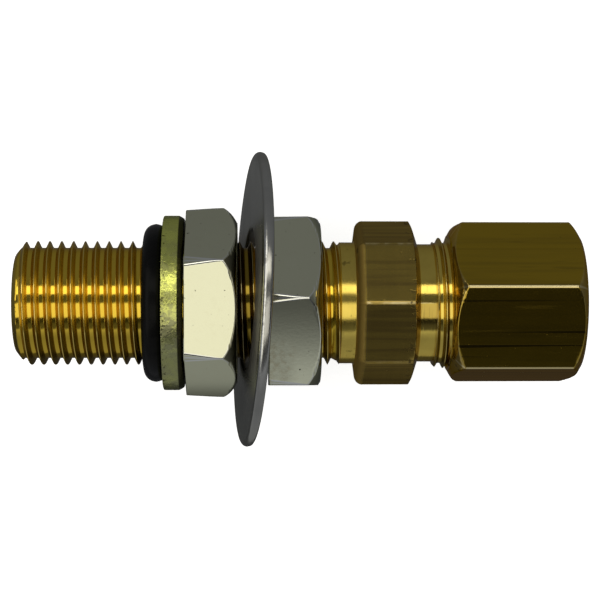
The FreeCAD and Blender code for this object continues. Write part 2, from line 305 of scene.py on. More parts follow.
def arc(x, here, there, bow):
    """Radii at stations on an arc between two (x, radius) points, which bows out from their chord."""
    along, rise = there[0] - here[0], there[1] - here[1]
    chord = math.hypot(along, rise)
    size = (chord ** 2 / 4 + bow ** 2) / (2 * bow)
    centre_x = (here[0] + there[0]) / 2 + (size - bow) * rise / chord
    centre_r = (here[1] + there[1]) / 2 - (size - bow) * along / chord
    held = np.clip(x, min(here[0], there[0]), max(here[0], there[0]))
    return centre_r + np.sqrt(size ** 2 - (held - centre_x) ** 2)


def spread(*stretches):
    """Stations along the axis: each stretch is (start, end, steps)."""
    parts = [np.linspace(start, end, steps + 1) for start, end, steps in stretches]
    return np.unique(np.round(np.concatenate(parts), 8))


class Prism:
    """A regular prism with rounded corners, and columns that are closer together near them."""

    def __init__(self, flats, sides, turn, corner, near, flat_steps, corner_steps):
        self.half = math.pi / sides
        self.apothem = flats / 2
        self.flat_angle = math.pi / 2 - turn
        self.corner = corner
        self.point_radius = self.apothem / math.cos(self.half)
        edges = np.linspace(0, near, corner_steps, endpoint=False)
        middle = np.linspace(near, 2 * self.half - near, flat_steps, endpoint=False)
        side = np.concatenate([edges, middle, 2 * self.half - near + edges])
        starts = self.flat_angle - self.half + 2 * self.half * np.arange(sides)
        self.angles = np.sort((starts[:, None] + side).ravel() % TURN)
        self.offset = np.abs((self.angles - self.flat_angle + self.half) % (2 * self.half) - self.half)

    def tangent(self, apothem):
        """Angle from the middle of a flat to where its corners start."""
        return math.atan((apothem - self.corner) * math.tan(self.half) / apothem)

    def radius(self, inset=0.0):
        """Radius at each column, with every flat set in by an inset."""
        apothem = self.apothem - inset
        centre = (apothem - self.corner) / math.cos(self.half)
        from_corner = self.half - self.offset
        root = np.sqrt(np.maximum(self.corner ** 2 - (centre * np.sin(from_corner)) ** 2, 0))
        return np.where(self.offset > self.tangent(apothem), centre * np.cos(from_corner) + root,
                        apothem / np.cos(self.offset))

    def cut(self, turned, width):
        """Radii where turned ones cut the prism, eased over a width, and each point's share in that edge."""
        turned, flat = turned[:, None], self.radius()
        share = np.clip(0.5 + 0.5 * (turned - flat) / width, 0, 1)
        edge = 4 * share * (1 - share)
        return turned * (1 - share) + flat * share - width * edge / 4, edge

    def corner_wear(self):
        """1 at the corners and 0 on the flats, for each column."""
        start = self.tangent(self.apothem)
        return np.clip((self.offset - start) / (self.half - start) * 2, 0, 1)


class Thread:
    """A right-hand thread with narrow crests and wide roots.

    CREST, CREST_EASED, FLANK_END and ROOT say where the crest, its rounding, the flank and the rounding of
    the root end, as shares of half a pitch from a crest. HALF places the rings, as shares of a pitch.
    """
    CREST = 0.04
    CREST_EASED = 0.10
    FLANK_END = 0.48
    ROOT = 0.74
    CREST_WEAR = 0.4
    HALF = (0, 0.02, 0.035, 0.05, 0.24, 0.28, 0.32, 0.35, 0.37)
    SHARES = HALF + (0.5,) + tuple(1 - share for share in HALF[:0:-1])

    def __init__(self, pitch, crest_radius, depth, crest_x, low=None, high=None):
        self.pitch = pitch
        self.crest_radius = crest_radius
        self.depth = depth
        self.crest_x = crest_x
        self.low = low
        self.high = high

    def from_crest(self, x, angles):
        """How far a point is from a crest, as a share of half a pitch."""
        turns = (x - self.crest_x) / self.pitch - angles / TURN
        return 2 * np.abs(turns - np.round(turns))

    def wear(self, x, angles):
        """Above 0 on the crests, which have wear, -1 on the flanks, which are darkened, 0 in the roots."""
        places = (self.CREST, self.CREST_EASED, self.FLANK_END, self.ROOT)
        return np.interp(self.from_crest(x, angles), places, (self.CREST_WEAR, -1, -1, 0))

    def radius(self, x, angles):
        """Radius of the thread at stations and angles, cut to the turned shape that it is made on."""
        u = self.from_crest(x, angles)
        slope = 2 / (self.FLANK_END + self.ROOT - self.CREST - self.CREST_EASED)
        crest = np.clip(u - self.CREST, 0, None) ** 2 / (2 * (self.CREST_EASED - self.CREST))
        flank = u - (self.CREST + self.CREST_EASED) / 2
        root = 1 / slope - np.clip(self.ROOT - u, 0, None) ** 2 / (2 * (self.ROOT - self.FLANK_END))
        fall = slope * np.where(u < self.CREST_EASED, crest, np.where(u < self.FLANK_END, flank, root))
        radius = self.crest_radius - self.depth * fall
        if self.low:
            radius = np.maximum(radius, self.low(x))
        if self.high:
            radius = np.minimum(radius, self.high(x))
        return radius

    def rows(self, start, end, angles):
        """Stations of each ring at each angle, run past both ends of the thread and held to it."""
        first = math.floor((start - self.crest_x) / self.pitch) - 2
        last = math.ceil((end - self.crest_x) / self.pitch) + 1
        turns = np.concatenate([k + np.array(self.SHARES) for k in range(first, last)])
        x = self.crest_x + self.pitch * (turns[:, None] + angles / TURN)
        return np.clip(x, start, end)


class Shell:
    """Strips of rings about the axis, welded into one closed mesh."""
    WELD = 0.0004 * MM
    SHARP = math.radians(38)

    def __init__(self, angles):
        self.angles = np.asarray(angles)
        self.points = []
        self.faces = []
        self.wear = []
        self.count = 0

    def add(self, x, r, wear=0.0, step=0, flip=False):
        """One strip of rings; after a full turn, a ring meets the one that is step rows further on."""
        rows, columns = r.shape
        x = np.broadcast_to(np.reshape(x, (rows, -1)), r.shape)
        self.wear.append(np.broadcast_to(wear, r.shape).ravel())
        ring = np.stack([x, r * np.cos(self.angles), r * np.sin(self.angles)], axis=-1)
        self.points.append(ring.reshape(-1, 3))
        index = self.count + np.arange(rows * columns).reshape(rows, columns)
        self.count += rows * columns
        here = index[:-1, :-1], index[:-1, 1:], index[1:, 1:], index[1:, :-1]
        low, high = index[: rows - 1 - step], index[step: rows - 1]
        seam = low[:, -1:], high[:, :1], index[step + 1:, :1], index[1: rows - step, -1:]
        for corners in (here, seam):
            quads = np.stack(corners, axis=-1).reshape(-1, 4)
            self.faces.append(quads[:, ::-1] if flip else quads)

    def band(self, *rings, wear=0.0):
        """Rings given as (x, radius), the radius a number or one value for each column."""
        x = [ring[0] for ring in rings]
        r = np.stack([np.broadcast_to(ring[1], len(self.angles)) for ring in rings])
        self.add(x, r.astype(float), np.reshape(wear, (-1, 1)))

    def thread(self, thread, start, end, inside=False):
        """A threaded stretch, from start to end along the axis."""
        angles = self.angles
        x = thread.rows(start, end, angles)
        self.add(x, thread.radius(x, angles), thread.wear(x, angles), len(thread.SHARES), inside)

    def build(self, name, place=None):
        """The welded mesh as an object in the scene."""
        mesh = bpy.data.meshes.new(name)
        mesh.from_pydata(np.concatenate(self.points).tolist(), [], np.concatenate(self.faces).tolist())
        wear = mesh.attributes.new(WEAR, "FLOAT", "POINT")
        wear.data.foreach_set("value", np.concatenate(self.wear).astype(np.float32))
        work = bmesh.new()
        work.from_mesh(mesh)
        bmesh.ops.remove_doubles(work, verts=work.verts, dist=self.WELD)
        bmesh.ops.dissolve_degenerate(work, edges=work.edges, dist=self.WELD)
        if place:
            bmesh.ops.transform(work, matrix=place, verts=work.verts)
        open_edges = [edge for edge in work.edges if not edge.is_manifold]
        if open_edges:
            raise RuntimeError(f"{name} has {len(open_edges)} edges that aren't closed")
        work.to_mesh(mesh)
        work.free()
        mesh.shade_smooth()
        mesh.set_sharp_from_angle(angle=self.SHARP)
        return add_object(name, mesh)


def place_piece(piece, node, body, material):
    """The piece stands for its node, rides on its body and takes the given finish."""
    piece.data.materials.append(material)
    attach(piece, body)
    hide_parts(node)


# Shader maths

def arithmetic(operation, swapped=False):
    """A method of a wire that adds a Math node of the wire and another term."""
    def method(self, other):
        return self.math(operation, *((other, self) if swapped else (self, other)))
    return method


class Wire:
    """A socket of a material; arithmetic on it adds Math nodes."""
    __add__ = __radd__ = arithmetic("ADD")
    __sub__ = arithmetic("SUBTRACT")
    __rsub__ = arithmetic("SUBTRACT", swapped=True)
    __mul__ = __rmul__ = arithmetic("MULTIPLY")
    __truediv__ = arithmetic("DIVIDE")
    __pow__ = arithmetic("POWER")

    def __init__(self, graph, socket):
        self.graph = graph
        self.socket = socket

    def math(self, operation, *terms):
        """A Math node of the terms."""
        return self.graph.add("ShaderNodeMath", {"operation": operation}, dict(enumerate(terms)))

    def above(self, low, high):
        """0 below low, 1 above high and smooth between them."""
        return self.graph.add("ShaderNodeMapRange", {"interpolation_type": "SMOOTHSTEP"},
                              {"Value": self, "From Min": low, "From Max": high})

    def capped(self):
        """The value where it is below 1, and 1 elsewhere."""
        return self.math("MINIMUM", self, 1.0)

    def positive(self):
        """The value where it is above 0, and 0 elsewhere."""
        return self.math("MAXIMUM", self, 0.0)

    def within(self, low, high, ease):
        """1 between two values, falling to 0 over an ease outside them."""
        return self.above(low - ease, low) * (1 - self.above(high, high + ease))


class Graph:
    """The nodes of one material or world."""

    def __init__(self, owner):
        self.owner = owner
        owner.use_nodes = True
        self.tree = owner.node_tree
        self.tree.nodes.clear()

    @classmethod
    def material(cls, name):
        """The empty nodes of a new material."""
        return cls(bpy.data.materials.new(name))

    def add(self, kind, settings=None, inputs=None, output=0):
        """A node with its settings, then the values or links of its sockets; gives one of its outputs."""
        node = self.tree.nodes.new(kind)
        for name, value in (settings or {}).items():
            if name == "stops":
                self.set_stops(node.color_ramp, value)
            else:
                setattr(node, name, value)
        for name, value in (inputs or {}).items():
            if isinstance(value, Wire):
                self.tree.links.new(value.socket, node.inputs[name])
            else:
                node.inputs[name].default_value = value
        return Wire(self, node.outputs[output]) if node.outputs else node

    @staticmethod
    def set_stops(ramp, stops):
        """Stops of a ramp, each a place and a grey or a colour."""
        for i, (place, value) in enumerate(stops):
            stop = ramp.elements[i] if i < 2 else ramp.elements.new(place)
            stop.position = place
            stop.color = (*value, 1) if isinstance(value, tuple) else (value, value, value, 1)

    def place(self):
        """The piece's own coordinates, in millimetres."""
        own = self.add("ShaderNodeTexCoord", output="Object")
        return self.stretch(own, (1 / MM, 1 / MM, 1 / MM))

    def wear(self):
        """How much wear and painted highlight a surface takes, 1 on edges and on the flange washer's rim
        band, and how darkened it is, 1 on the flanks of threads and on the locknuts' back chamfers.
        """
        wear = self.add("ShaderNodeAttribute", {"attribute_name": WEAR}, output="Fac")
        return wear.positive(), (0 - wear).positive()

    def stretch(self, vector, factors):
        """A vector scaled along each axis."""
        return self.add("ShaderNodeVectorMath", {"operation": "MULTIPLY"}, {0: vector, 1: factors})

    def axes(self, vector):
        """The three numbers of a vector."""
        node = self.add("ShaderNodeSeparateXYZ", inputs={0: vector})
        return [Wire(self, socket) for socket in node.socket.node.outputs]

    def noise(self, vector, scale, detail=2.0, roughness=0.5, distortion=0.0):
        """Soft noise from 0 to 1; scale is in features a millimetre."""
        return self.add("ShaderNodeTexNoise", inputs={"Vector": vector, "Scale": scale, "Detail": detail,
                                                      "Roughness": roughness, "Distortion": distortion})

    def streaks(self, vector, factors, scale=1.0, **settings):
        """Noise that is drawn out along the axes with the smaller factors."""
        return self.noise(self.stretch(vector, factors), scale, **settings)

    def mix(self, share, a, b):
        """A colour between two colours."""
        sides = {0: share}
        for socket, value in ((6, a), (7, b)):
            sides[socket] = value if isinstance(value, Wire) else (*value, 1)
        return self.add("ShaderNodeMix", {"data_type": "RGBA"}, sides, output=2)

    def bump(self, height, depth):
        """A normal from a height of 0 to 1 that stands for a depth."""
        return self.add("ShaderNodeBump", inputs={"Strength": 1.0, "Distance": depth, "Height": height})

    def surface(self, **sockets):
        """The Principled shader and the output; names are those of its sockets, with _ for a space."""
        inputs = {name.replace("_", " "): value for name, value in sockets.items()}
        return self.output(self.add("ShaderNodeBsdfPrincipled", inputs=inputs))

    def metal(self, glance, tint, rough, height, depth, metallic=1.0):
        """Bare metal with a height that stands for a depth; glance is its colour seen along the surface."""
        return self.surface(Metallic=metallic, Specular_Tint=(*glance, 1), Base_Color=tint, Roughness=rough,
                            Normal=self.bump(height, depth))

    def output(self, shader, kind="ShaderNodeOutputMaterial"):
        """The shader as the surface of the material or world."""
        self.add(kind, inputs={"Surface": shader})
        return self.owner


def from_axis(y, z):
    """Distance of a point from the axis."""
    return (y * y + z * z) ** 0.5


def rubber_finish(finish):
    """Black moulded rubber with a soft bloom and a little dust."""
    graph = Graph.material("rubber")
    place = graph.place()
    grain = graph.noise(place, 3.5, detail=4)
    bloom = graph.noise(place, 0.35, detail=3).above(0.45, 0.75)
    dust = graph.noise(place, 5.0, detail=1).above(0.74, 0.80)
    tint = graph.mix(bloom * 0.2 + dust * 0.4, finish.rubber, finish.rubber_dust)
    rough = 0.27 + bloom * 0.14 + dust * 0.2
    return graph.surface(Base_Color=tint, Roughness=rough, Specular_IOR_Level=0.085,
                         Normal=graph.bump(grain, 0.010 * MM))


def body_finish(finish, stations, gap, grip, bore):
    """Turned brass with lathe rings, dull in the bore, and the octagon's forged skin, with painted shade in
    places.
    """
    collar_x, octagon_x, neck_x, spigot_x = (station / MM for station in stations)
    gap_start, gap_end = (station / MM for station in gap)
    graph = Graph.material("brass_body")
    place = graph.place()
    x, y, z = graph.axes(place)
    radius = from_axis(y, z)
    wear_and_highlight, darkened = graph.wear()
    forged = x.within(octagon_x, neck_x, 0.25) * radius.above(grip / MM, grip / MM + 0.3)
    collar = x.within(collar_x, octagon_x, 0.1)
    neck = x.within(neck_x, spigot_x, 0.1)
    threaded = 1 - x.above(collar_x - 1.0, collar_x)
    # Painted shade on the thread in the gap between the first locknut and the flange washer, darkest next to
    # the nut
    gap_shade = x.within(gap_start, gap_start + 0.8, 0.5) * 0.25 + x.within(gap_start, gap_end, 0.4) * 0.72
    # The lower side, where the thread flanks get painted shade and the octagon's edges stay dull as painted
    # shade
    lower = (0 - y).above(1.0, 6.0)
    bored = 1 - radius.above(bore / MM + 0.3, bore / MM + 0.6)
    # The rounded end of the octagon, darker and rougher: partly its forged skin, partly painted shade that
    # dims a reflection
    rounded_end = forged * (1 - x.above(octagon_x + 0.8, octagon_x + 1.6))
    clouds = graph.noise(place, 0.30, detail=4, roughness=0.6)
    rings = graph.streaks(place, (2.2, 0.04, 0.04), detail=3, roughness=0.6)
    bands = graph.streaks(place, (0.03, 0.7, 0.7), detail=3, roughness=0.6)
    pits = graph.noise(place, 0.8, detail=2)
    scratches = graph.streaks(place, (2.6, 0.5, 0.5), detail=2, distortion=0.8).above(0.68, 0.73)
    nicks = graph.streaks(place, (0.8, 1.2, 1.2), detail=1).above(0.60, 0.64)
    nicks = nicks * forged * x.within(neck_x - 2.0, neck_x - 0.9, 0.2)
    marks = pits.above(0.70, 0.75) * (0.2 + 0.3 * forged) + pits.above(0.67, 0.71) * collar * 0.3
    marks = (marks + scratches * collar * 0.3 + nicks * 0.7).capped()
    turned = graph.mix(clouds.above(0.35, 0.75) * 0.35 + rings * 0.2, finish.brass, finish.brass_shade)
    turned = graph.mix(threaded * 0.85, turned, finish.brass_thread)
    turned = graph.mix(darkened * 0.6, turned, finish.brass_flank)
    # Painted shade: a band of the neck just on the -Y side of the axis darkens towards the forged colour,
    # dimming a reflection
    turned = graph.mix(neck * y.within(-3.5, -0.5, 1.5) * 0.8, turned, finish.octagon)
    # Painted shade in that gap and on the thread flanks of the lower side
    turned = graph.mix((gap_shade + darkened * lower * 0.6).capped(), turned, finish.grime)
    skin = graph.mix((bands.above(0.40, 0.62) + rounded_end).capped(), finish.octagon, finish.octagon_shade)
    # Edges lightened by wear and partly as painted highlight on bright edge lines; the octagon's stay dull
    # on the lower side, a painted shade
    bright_edge = wear_and_highlight * (1 - forged * clouds.above(0.40, 0.55) * 0.9) * (1 - forged * lower * 0.8)
    tint = graph.mix(bright_edge * 0.85, graph.mix(forged, turned, skin), finish.brass_edge)
    tint = graph.mix(marks, tint, finish.pit)
    rough = 0.08 + rings * 0.06 + collar * 0.07 + darkened * 0.16 + marks * 0.25
    rough = rough + forged * (0.05 + bands * 0.05 + wear_and_highlight * 0.3) + rounded_end * 0.45 + bored * 0.3
    height = rings * (0.6 + threaded * 0.8 + neck * 8.0 - 0.58 * forged) + bands * forged * 0.3
    height = height + clouds * 0.3 - marks * 0.8
    return graph.metal(finish.brass_glance, tint, rough, height, 0.014 * MM, 1 - bored * 0.5)


def nut_brass_finish(finish, bore, name="brass_nut", along=0.03):
    """Drawn brass bar, smooth and dark, with long die lines and a few specks, and dull inside its bore."""
    graph = Graph.material(name)
    place = graph.place()
    y, z = graph.axes(place)[1:]
    wear_and_highlight, darkened = graph.wear()
    bored = 1 - from_axis(y, z).above(bore / MM, bore / MM + 0.2)
    clouds = graph.noise(place, 0.22, detail=4, roughness=0.6)
    lines = graph.streaks(place, (along, 0.8, 0.8), detail=3, roughness=0.6)
    deep = graph.streaks(place, (along * 1.8, 0.9, 0.9), scale=1.3, detail=2).above(0.62, 0.68)
    specks = graph.noise(place, 1.8, detail=1).above(0.77, 0.81)
    scores = graph.streaks(place, (along * 0.4, 1.5, 1.5), detail=0).above(0.69, 0.74)
    scores = scores * (0.15 + 0.6 * (0 - y).above(-3.0, 1.0))
    streaks = lines.above(0.40, 0.72) * 0.45 + deep * 0.5
    tint = graph.mix(streaks, finish.nut_brass, finish.nut_shade)
    tint = graph.mix((specks * 0.5 + darkened * 0.5 + scores).capped(), tint, finish.pit)
    # Edges lightened by wear and partly as painted highlight on bright edge lines
    tint = graph.mix(wear_and_highlight * 0.9, tint, finish.brass_edge)
    rough = 0.065 + clouds * 0.04 + lines * 0.03 + deep * 0.06 + specks * 0.2 + bored * 0.3
    height = lines * 0.25 + clouds * 0.6 - scores * 0.5
    return graph.metal(finish.nut_glance, tint, rough, height, 0.008 * MM, 1 - bored * 0.5)


def plate_finish(finish, stained_x):
    """Bright grey plate with black specks; one nut has its back chamfer darkened as painted shade, the other
    is stained on one side.
    """
    graph = Graph.material("grey_plate")
    place = graph.place()
    x, y = graph.axes(place)[:2]
    wear_and_highlight, darkened = graph.wear()
    mottle = graph.noise(place, 0.9, detail=4, roughness=0.7)
    peel = graph.noise(place, 2.2, detail=2)
    clouds = graph.noise(place, 0.12, detail=2)
    specks = graph.noise(place, 1.7, detail=1).above(0.76, 0.79)
    stained = x.within(stained_x / MM, stained_x / MM + 2.5, 2.5) * (0 - y).above(4.0, 9.0)
    second_nut = x.above(stained_x / MM - 1, stained_x / MM)
    shade = stained * mottle.above(0.42, 0.66) * 0.6 + clouds * 0.1 + mottle.above(0.50, 0.75) * 0.1
    tint = graph.mix(shade, finish.plate, finish.plate_shade)
    # Painted shade: the first nut's back chamfer darkens, with the flanks of its thread; the second nut's
    # stay bright
    tint = graph.mix((specks * 0.7 + darkened * (1 - second_nut) * 0.75).capped(), tint, finish.pit)
    # Edges lightened by wear and partly as painted highlight on bright edge lines
    tint = graph.mix(wear_and_highlight, tint, finish.plate_edge)
    rough = 0.065 + mottle * 0.03 + stained * 0.08 + specks * 0.2
    height = peel * 0.12 + mottle * (0.06 + stained * 0.5)
    return graph.metal(finish.plate_glance, tint, rough, height, 0.010 * MM)


def washer_finish(finish, edge_x, bevel_x):
    """Yellow passivated zinc: patchy and pitted at one edge, with painted shade: greyer towards the lower
    side and black at the bevel.
    """
    graph = Graph.material("yellow_plate")
    place = graph.place()
    x, y = graph.axes(place)[:2]
    patches = graph.noise(place, 0.28, detail=4, roughness=0.65)
    scuff = graph.streaks(place, (1.6, 0.35, 0.35), detail=4, roughness=0.7)
    near_edge = 1 - x.above(edge_x / MM + 0.2, edge_x / MM + 1.3)
    pits = graph.noise(place, 2.2, detail=3).above(0.56, 0.64) * near_edge
    specks = graph.noise(place, 2.2, detail=1).above(0.75, 0.79)
    dents = graph.noise(place, 1.0, detail=3, roughness=0.7)
    blots = graph.noise(place, 0.75, detail=3, roughness=0.6).above(0.48, 0.56)
    blots = blots * (0.2 + 0.8 * y.within(-5, 7, 4))
    # Painted shade: greyer towards the lower side
    grey = (0 - y).above(-3.0, 5.5) * 0.75
    # Painted shade: black on the bevel towards the nut
    black = x.above(bevel_x / MM - 0.05, bevel_x / MM + 0.15) * 0.95
    shade = (patches.above(0.40, 0.66) * 0.3 + blots * 0.3 + scuff * 0.1 + grey).capped()
    tint = graph.mix(shade, finish.washer, finish.washer_shade)
    tint = graph.mix((pits * 0.85 + specks * 0.4 + black).capped(), tint, finish.pit)
    rough = 0.18 + scuff * 0.14 + blots * 0.10 + pits * 0.2
    height = scuff * 0.8 + patches * 0.5 + dents * 4.0 - pits * 0.9
    return graph.metal(finish.plate_glance, tint, rough, height, 0.022 * MM)


def disc_finish(finish, hole, rim):
    """Grey metal with soft stains and scuffs round its hole, painted shade there and on the rim, and a
    painted highlight on its front edge.
    """
    graph = Graph.material("bright_disc")
    place = graph.place()
    y, z = graph.axes(place)[1:]
    radius = from_axis(y, z)
    wear_and_highlight = graph.wear()[0]
    stains = graph.noise(place, 0.14, detail=4, roughness=0.6)
    marks = graph.streaks(place, (3.0, 0.5, 0.5), detail=3, roughness=0.6)
    dents = graph.noise(place, 0.7, detail=3, roughness=0.6)
    # Painted highlight: the marked band of the rim's front round turns near white, broken up by dents, from
    # 7 mm on the -Y side to 10 mm on the +Y side
    bright_edge = wear_and_highlight * dents.above(0.36, 0.50) * y.within(-7.0, 10.0, 3.0)
    # Round the hole: rougher from scuffs, and darkened as painted shade
    scuff_and_shade = radius.within(hole / MM, hole / MM + 9.0, 2.5) * y.within(-10.0, 10.0, 4.0)
    tint = graph.mix(stains.above(0.35, 0.75) * 0.7, finish.disc, finish.disc_shade)
    # Painted shade: the rim wall darkens, most on the lower side
    rim_shade = radius.above(rim / MM - 1.6, rim / MM - 0.6) * (0.6 + 0.4 * (0 - y).above(7.0, 12.0))
    tint = graph.mix((scuff_and_shade + rim_shade).capped() * 0.6, tint, finish.disc_dull)
    tint = graph.mix(bright_edge, tint, finish.plate_edge)
    rough = 0.15 + marks * 0.05 + stains * 0.06 + scuff_and_shade * 0.22 - bright_edge * 0.05
    height = dents * (0.8 + wear_and_highlight * 1.2) + marks * 0.1
    return graph.metal(finish.disc_glance, tint, rough, height, 0.020 * MM)


# Operators

def long_thread(body, room=0.0, **limits):
    """The thread of the stub and, with some room, of the locknuts."""
    return Thread(body.pitch, mount_radius("tank_thread") + room, body.depth, body.crest, **limits)


def spigot_thread(body, room=0.0, **limits):
    """The thread of the spigot and, with some room, of the compression nut."""
    radius = body.spigot_radius + room
    return Thread(body.spigot_pitch, radius, body.spigot_depth, body.spigot_crest, **limits)


def root_radius(body):
    """Radius of the roots of the long thread."""
    return mount_radius("tank_thread") - body.depth


class MakeFitting(bpy.types.Operator):
    """Makes the brass fitting with its threads, octagon and bore"""
    bl_idname = "tank_connector.fitting"
    bl_label = "Fitting"

    # How the long thread ends at the ring, starts at the first locknut and fades out at the collar
    RUN_OUT_STEP = 0.2 * MM
    RUN_OUT_SLOPE = 0.9
    LEAD_IN_STEP = 0.01 * MM
    LEAD_IN_SLOPE = 1.2
    FADE_PITCHES = 0.7
    FADE_STEP = 0.25 * MM
    # The middle of the octagon's foot, along the axis and outwards, as shares of its size
    FOOT_MIDDLE = (0.3, 0.25)

    def execute(self, context):
        settings = context.scene.tank_connector
        body = settings.body
        start, end = span("fitting_body")
        relief = span("o_ring")[0], span("seal_locknut")[0]
        collar_x = span("flange_locknut")[1] + body.spare_thread
        octagon_x = collar_x + body.collar_length
        neck_x = octagon_x + body.octagon_length
        spigot_x = neck_x + body.neck_length
        grip = Prism(body.octagon_flats, 8, body.octagon_turn, body.octagon_corner,
                     near=math.radians(2.0), flat_steps=11, corner_steps=3)
        shell = Shell(grip.angles)
        self.add_stub(shell, body, start, relief)
        self.add_shank(shell, body, relief, collar_x, octagon_x)
        self.add_octagon(shell, body, grip, octagon_x, neck_x)
        tip = self.add_spigot(shell, body, neck_x, spigot_x, end)
        self.add_bore(shell, body, start, end, tip)
        piece = shell.build("fitting_dressed")
        gap = span("seal_locknut")[1], sum(span("flange_washer")) / 2
        finish = body_finish(settings.finish, (collar_x, octagon_x, neck_x, spigot_x), gap,
                             body.collar_radius, mount_radius("pipe_socket"))
        place_piece(piece, "fitting_body", "fitting", finish)
        return {"FINISHED"}

    def add_stub(self, shell, body, start, relief):
        """The nose, the stub thread and the relief for the ring."""
        root = root_radius(body)
        slope = (mount_radius("tank_thread") - body.nose_radius) / body.nose_length
        run_out = relief[0] + body.run_out

        def high(x):
            nose_cone = body.nose_radius + slope * (x - start)
            return np.minimum(nose_cone, root + self.RUN_OUT_STEP + (run_out - x) * self.RUN_OUT_SLOPE)

        thread = long_thread(body, high=high)
        nose = start + body.edge
        shell.band((start, mount_radius("waterway") + body.edge * 2),
                   (start, body.nose_radius - body.edge / 2), (nose, thread.radius(nose, shell.angles)))
        shell.thread(thread, nose, run_out)
        shell.band((run_out, thread.radius(run_out, shell.angles)), (run_out, root), (relief[1], root))

    def add_shank(self, shell, body, relief, collar_x, octagon_x):
        """The locknuts' thread, which fades out at the collar, the collar and the octagon's foot."""
        root = root_radius(body)
        fade = body.pitch * self.FADE_PITCHES
        shallow = body.collar_radius - self.FADE_STEP - root

        def low(x):
            return root + shallow * np.clip((x - collar_x + fade) / fade, 0, 1)

        def high(x):
            return root + (x - relief[1]) * self.LEAD_IN_SLOPE + self.LEAD_IN_STEP

        thread = long_thread(body, low=low, high=high)
        shell.band((relief[1], root), (relief[1], thread.radius(relief[1], shell.angles)))
        shell.thread(thread, relief[1], collar_x)
        collar, foot = body.collar_radius, body.octagon_foot
        back, out = (foot * share for share in self.FOOT_MIDDLE)
        shell.band((collar_x, thread.radius(collar_x, shell.angles)), (collar_x, collar - body.edge),
                   (collar_x + body.edge, collar), (octagon_x - foot, collar),
                   (octagon_x - back, collar + out), (octagon_x, collar + foot))

    def add_octagon(self, shell, body, grip, start, end):
        """The spanner grip, rounded towards the tank and chamfered towards the pipe."""
        quarter = np.linspace(0, math.pi / 2, 11)[:-1]
        front = start + body.octagon_round * (1 - np.cos(quarter))
        inset = body.octagon_round * (1 - np.sin(quarter))
        shell.band((start, body.collar_radius + body.octagon_foot), (start, grip.radius(body.octagon_round)))
        rounded = start + body.octagon_round
        chamfer = end - body.octagon_chamfer
        stations = spread((rounded, chamfer, 6), (chamfer, end, 14))
        corner = grip.point_radius
        slope = (corner - body.neck_radius) / body.octagon_chamfer
        envelope = corner - slope * np.maximum(stations - chamfer, 0)
        r, edge = grip.cut(envelope, body.octagon_ease)
        r[-1] = body.neck_radius
        r = np.concatenate([np.stack([grip.radius(depth) for depth in inset]), r])
        wear = np.concatenate([np.zeros((len(inset), len(grip.angles))),
                               np.maximum(edge * CHAMFER_WEAR, grip.corner_wear())])
        shell.add(np.concatenate([front, stations]), r, wear)

    def add_spigot(self, shell, body, neck_x, spigot_x, end):
        """The neck and the thread under the compression nut; gives the radius at its end."""
        tip = body.spigot_radius - body.spigot_chamfer

        def high(x):
            return tip + np.minimum(x - spigot_x, end - x)

        thread = spigot_thread(body, high=high)
        shell.band((neck_x, body.neck_radius), (spigot_x, body.neck_radius),
                   (spigot_x, thread.radius(spigot_x, shell.angles)))
        shell.thread(thread, spigot_x, end)
        return thread.radius(end, shell.angles)

    def add_bore(self, shell, body, start, end, tip):
        """The end face, the olive's seat, the pipe socket and the waterway."""
        socket = mount_radius("pipe_socket")
        waterway = mount_radius("waterway")
        mouth = socket + body.seat_depth * math.tan(body.seat_angle)
        shell.band((end, tip), (end, mouth), (end - body.seat_depth, socket),
                   (end - body.socket_depth, socket), (end - body.socket_depth, waterway),
                   (start + body.edge * 2, waterway), (start, waterway + body.edge * 2))


class MakeSeal(bpy.types.Operator):
    """Makes the rubber ring and its backing washer"""
    bl_idname = "tank_connector.seal"
    bl_label = "Seal"

    # Points round the section of the ring, and how wide its mould line is, as an angle about that section
    RING_POINTS = 57
    FLASH_WIDTH = 0.05

    def execute(self, context):
        settings = context.scene.tank_connector
        columns = even_angles(160)
        self.make_ring(settings, columns)
        self.make_washer(settings, columns)
        return {"FINISHED"}

    def make_ring(self, settings, columns):
        """A moulded ring with a fine flash line round its outside."""
        start, end = span("o_ring")
        half = (end - start) / 2
        middle = reach("o_ring") - half
        shell = Shell(columns)
        flash = settings.seal.flash
        rings = []
        for t in np.linspace(0, TURN, self.RING_POINTS):
            bulge = half - flash * (1 - math.exp(-((t - math.pi / 2) / self.FLASH_WIDTH) ** 2))
            rings.append((start + half - half * math.cos(t), middle + bulge * math.sin(t)))
        shell.band(*rings)
        place_piece(shell.build("o_ring_dressed"), "o_ring", "seal_stack",
                    rubber_finish(settings.finish))

    def make_washer(self, settings, columns):
        """A thick washer, dished towards the ring and bevelled towards the nut."""
        seal = settings.seal
        start, end = span("backing_washer")
        rim = reach("backing_washer")
        hole = mount_radius("tank_thread") + seal.hole
        lip = reach("o_ring") + seal.room
        floor_x = start + seal.dish + seal.room
        bevel, edge = seal.bevel, seal.edge
        bevel_x = end - seal.bevel_length
        slope = bevel / seal.bevel_length
        ease = 0.1 * MM
        inset = edge * EASED_MIDDLE
        shell = Shell(columns)
        shell.band((floor_x, hole), (floor_x, lip - seal.dish), (start, lip), (start, rim - edge),
                   (start + inset, rim - inset), (start + edge, rim), (bevel_x - ease, rim),
                   (bevel_x + ease, rim - ease * slope), (end - ease, rim - bevel + ease * slope),
                   (end, rim - bevel - ease), (end, hole), (floor_x, hole))
        place_piece(shell.build("backing_washer_dressed"), "backing_washer", "seal_stack",
                    washer_finish(settings.finish, start, bevel_x))


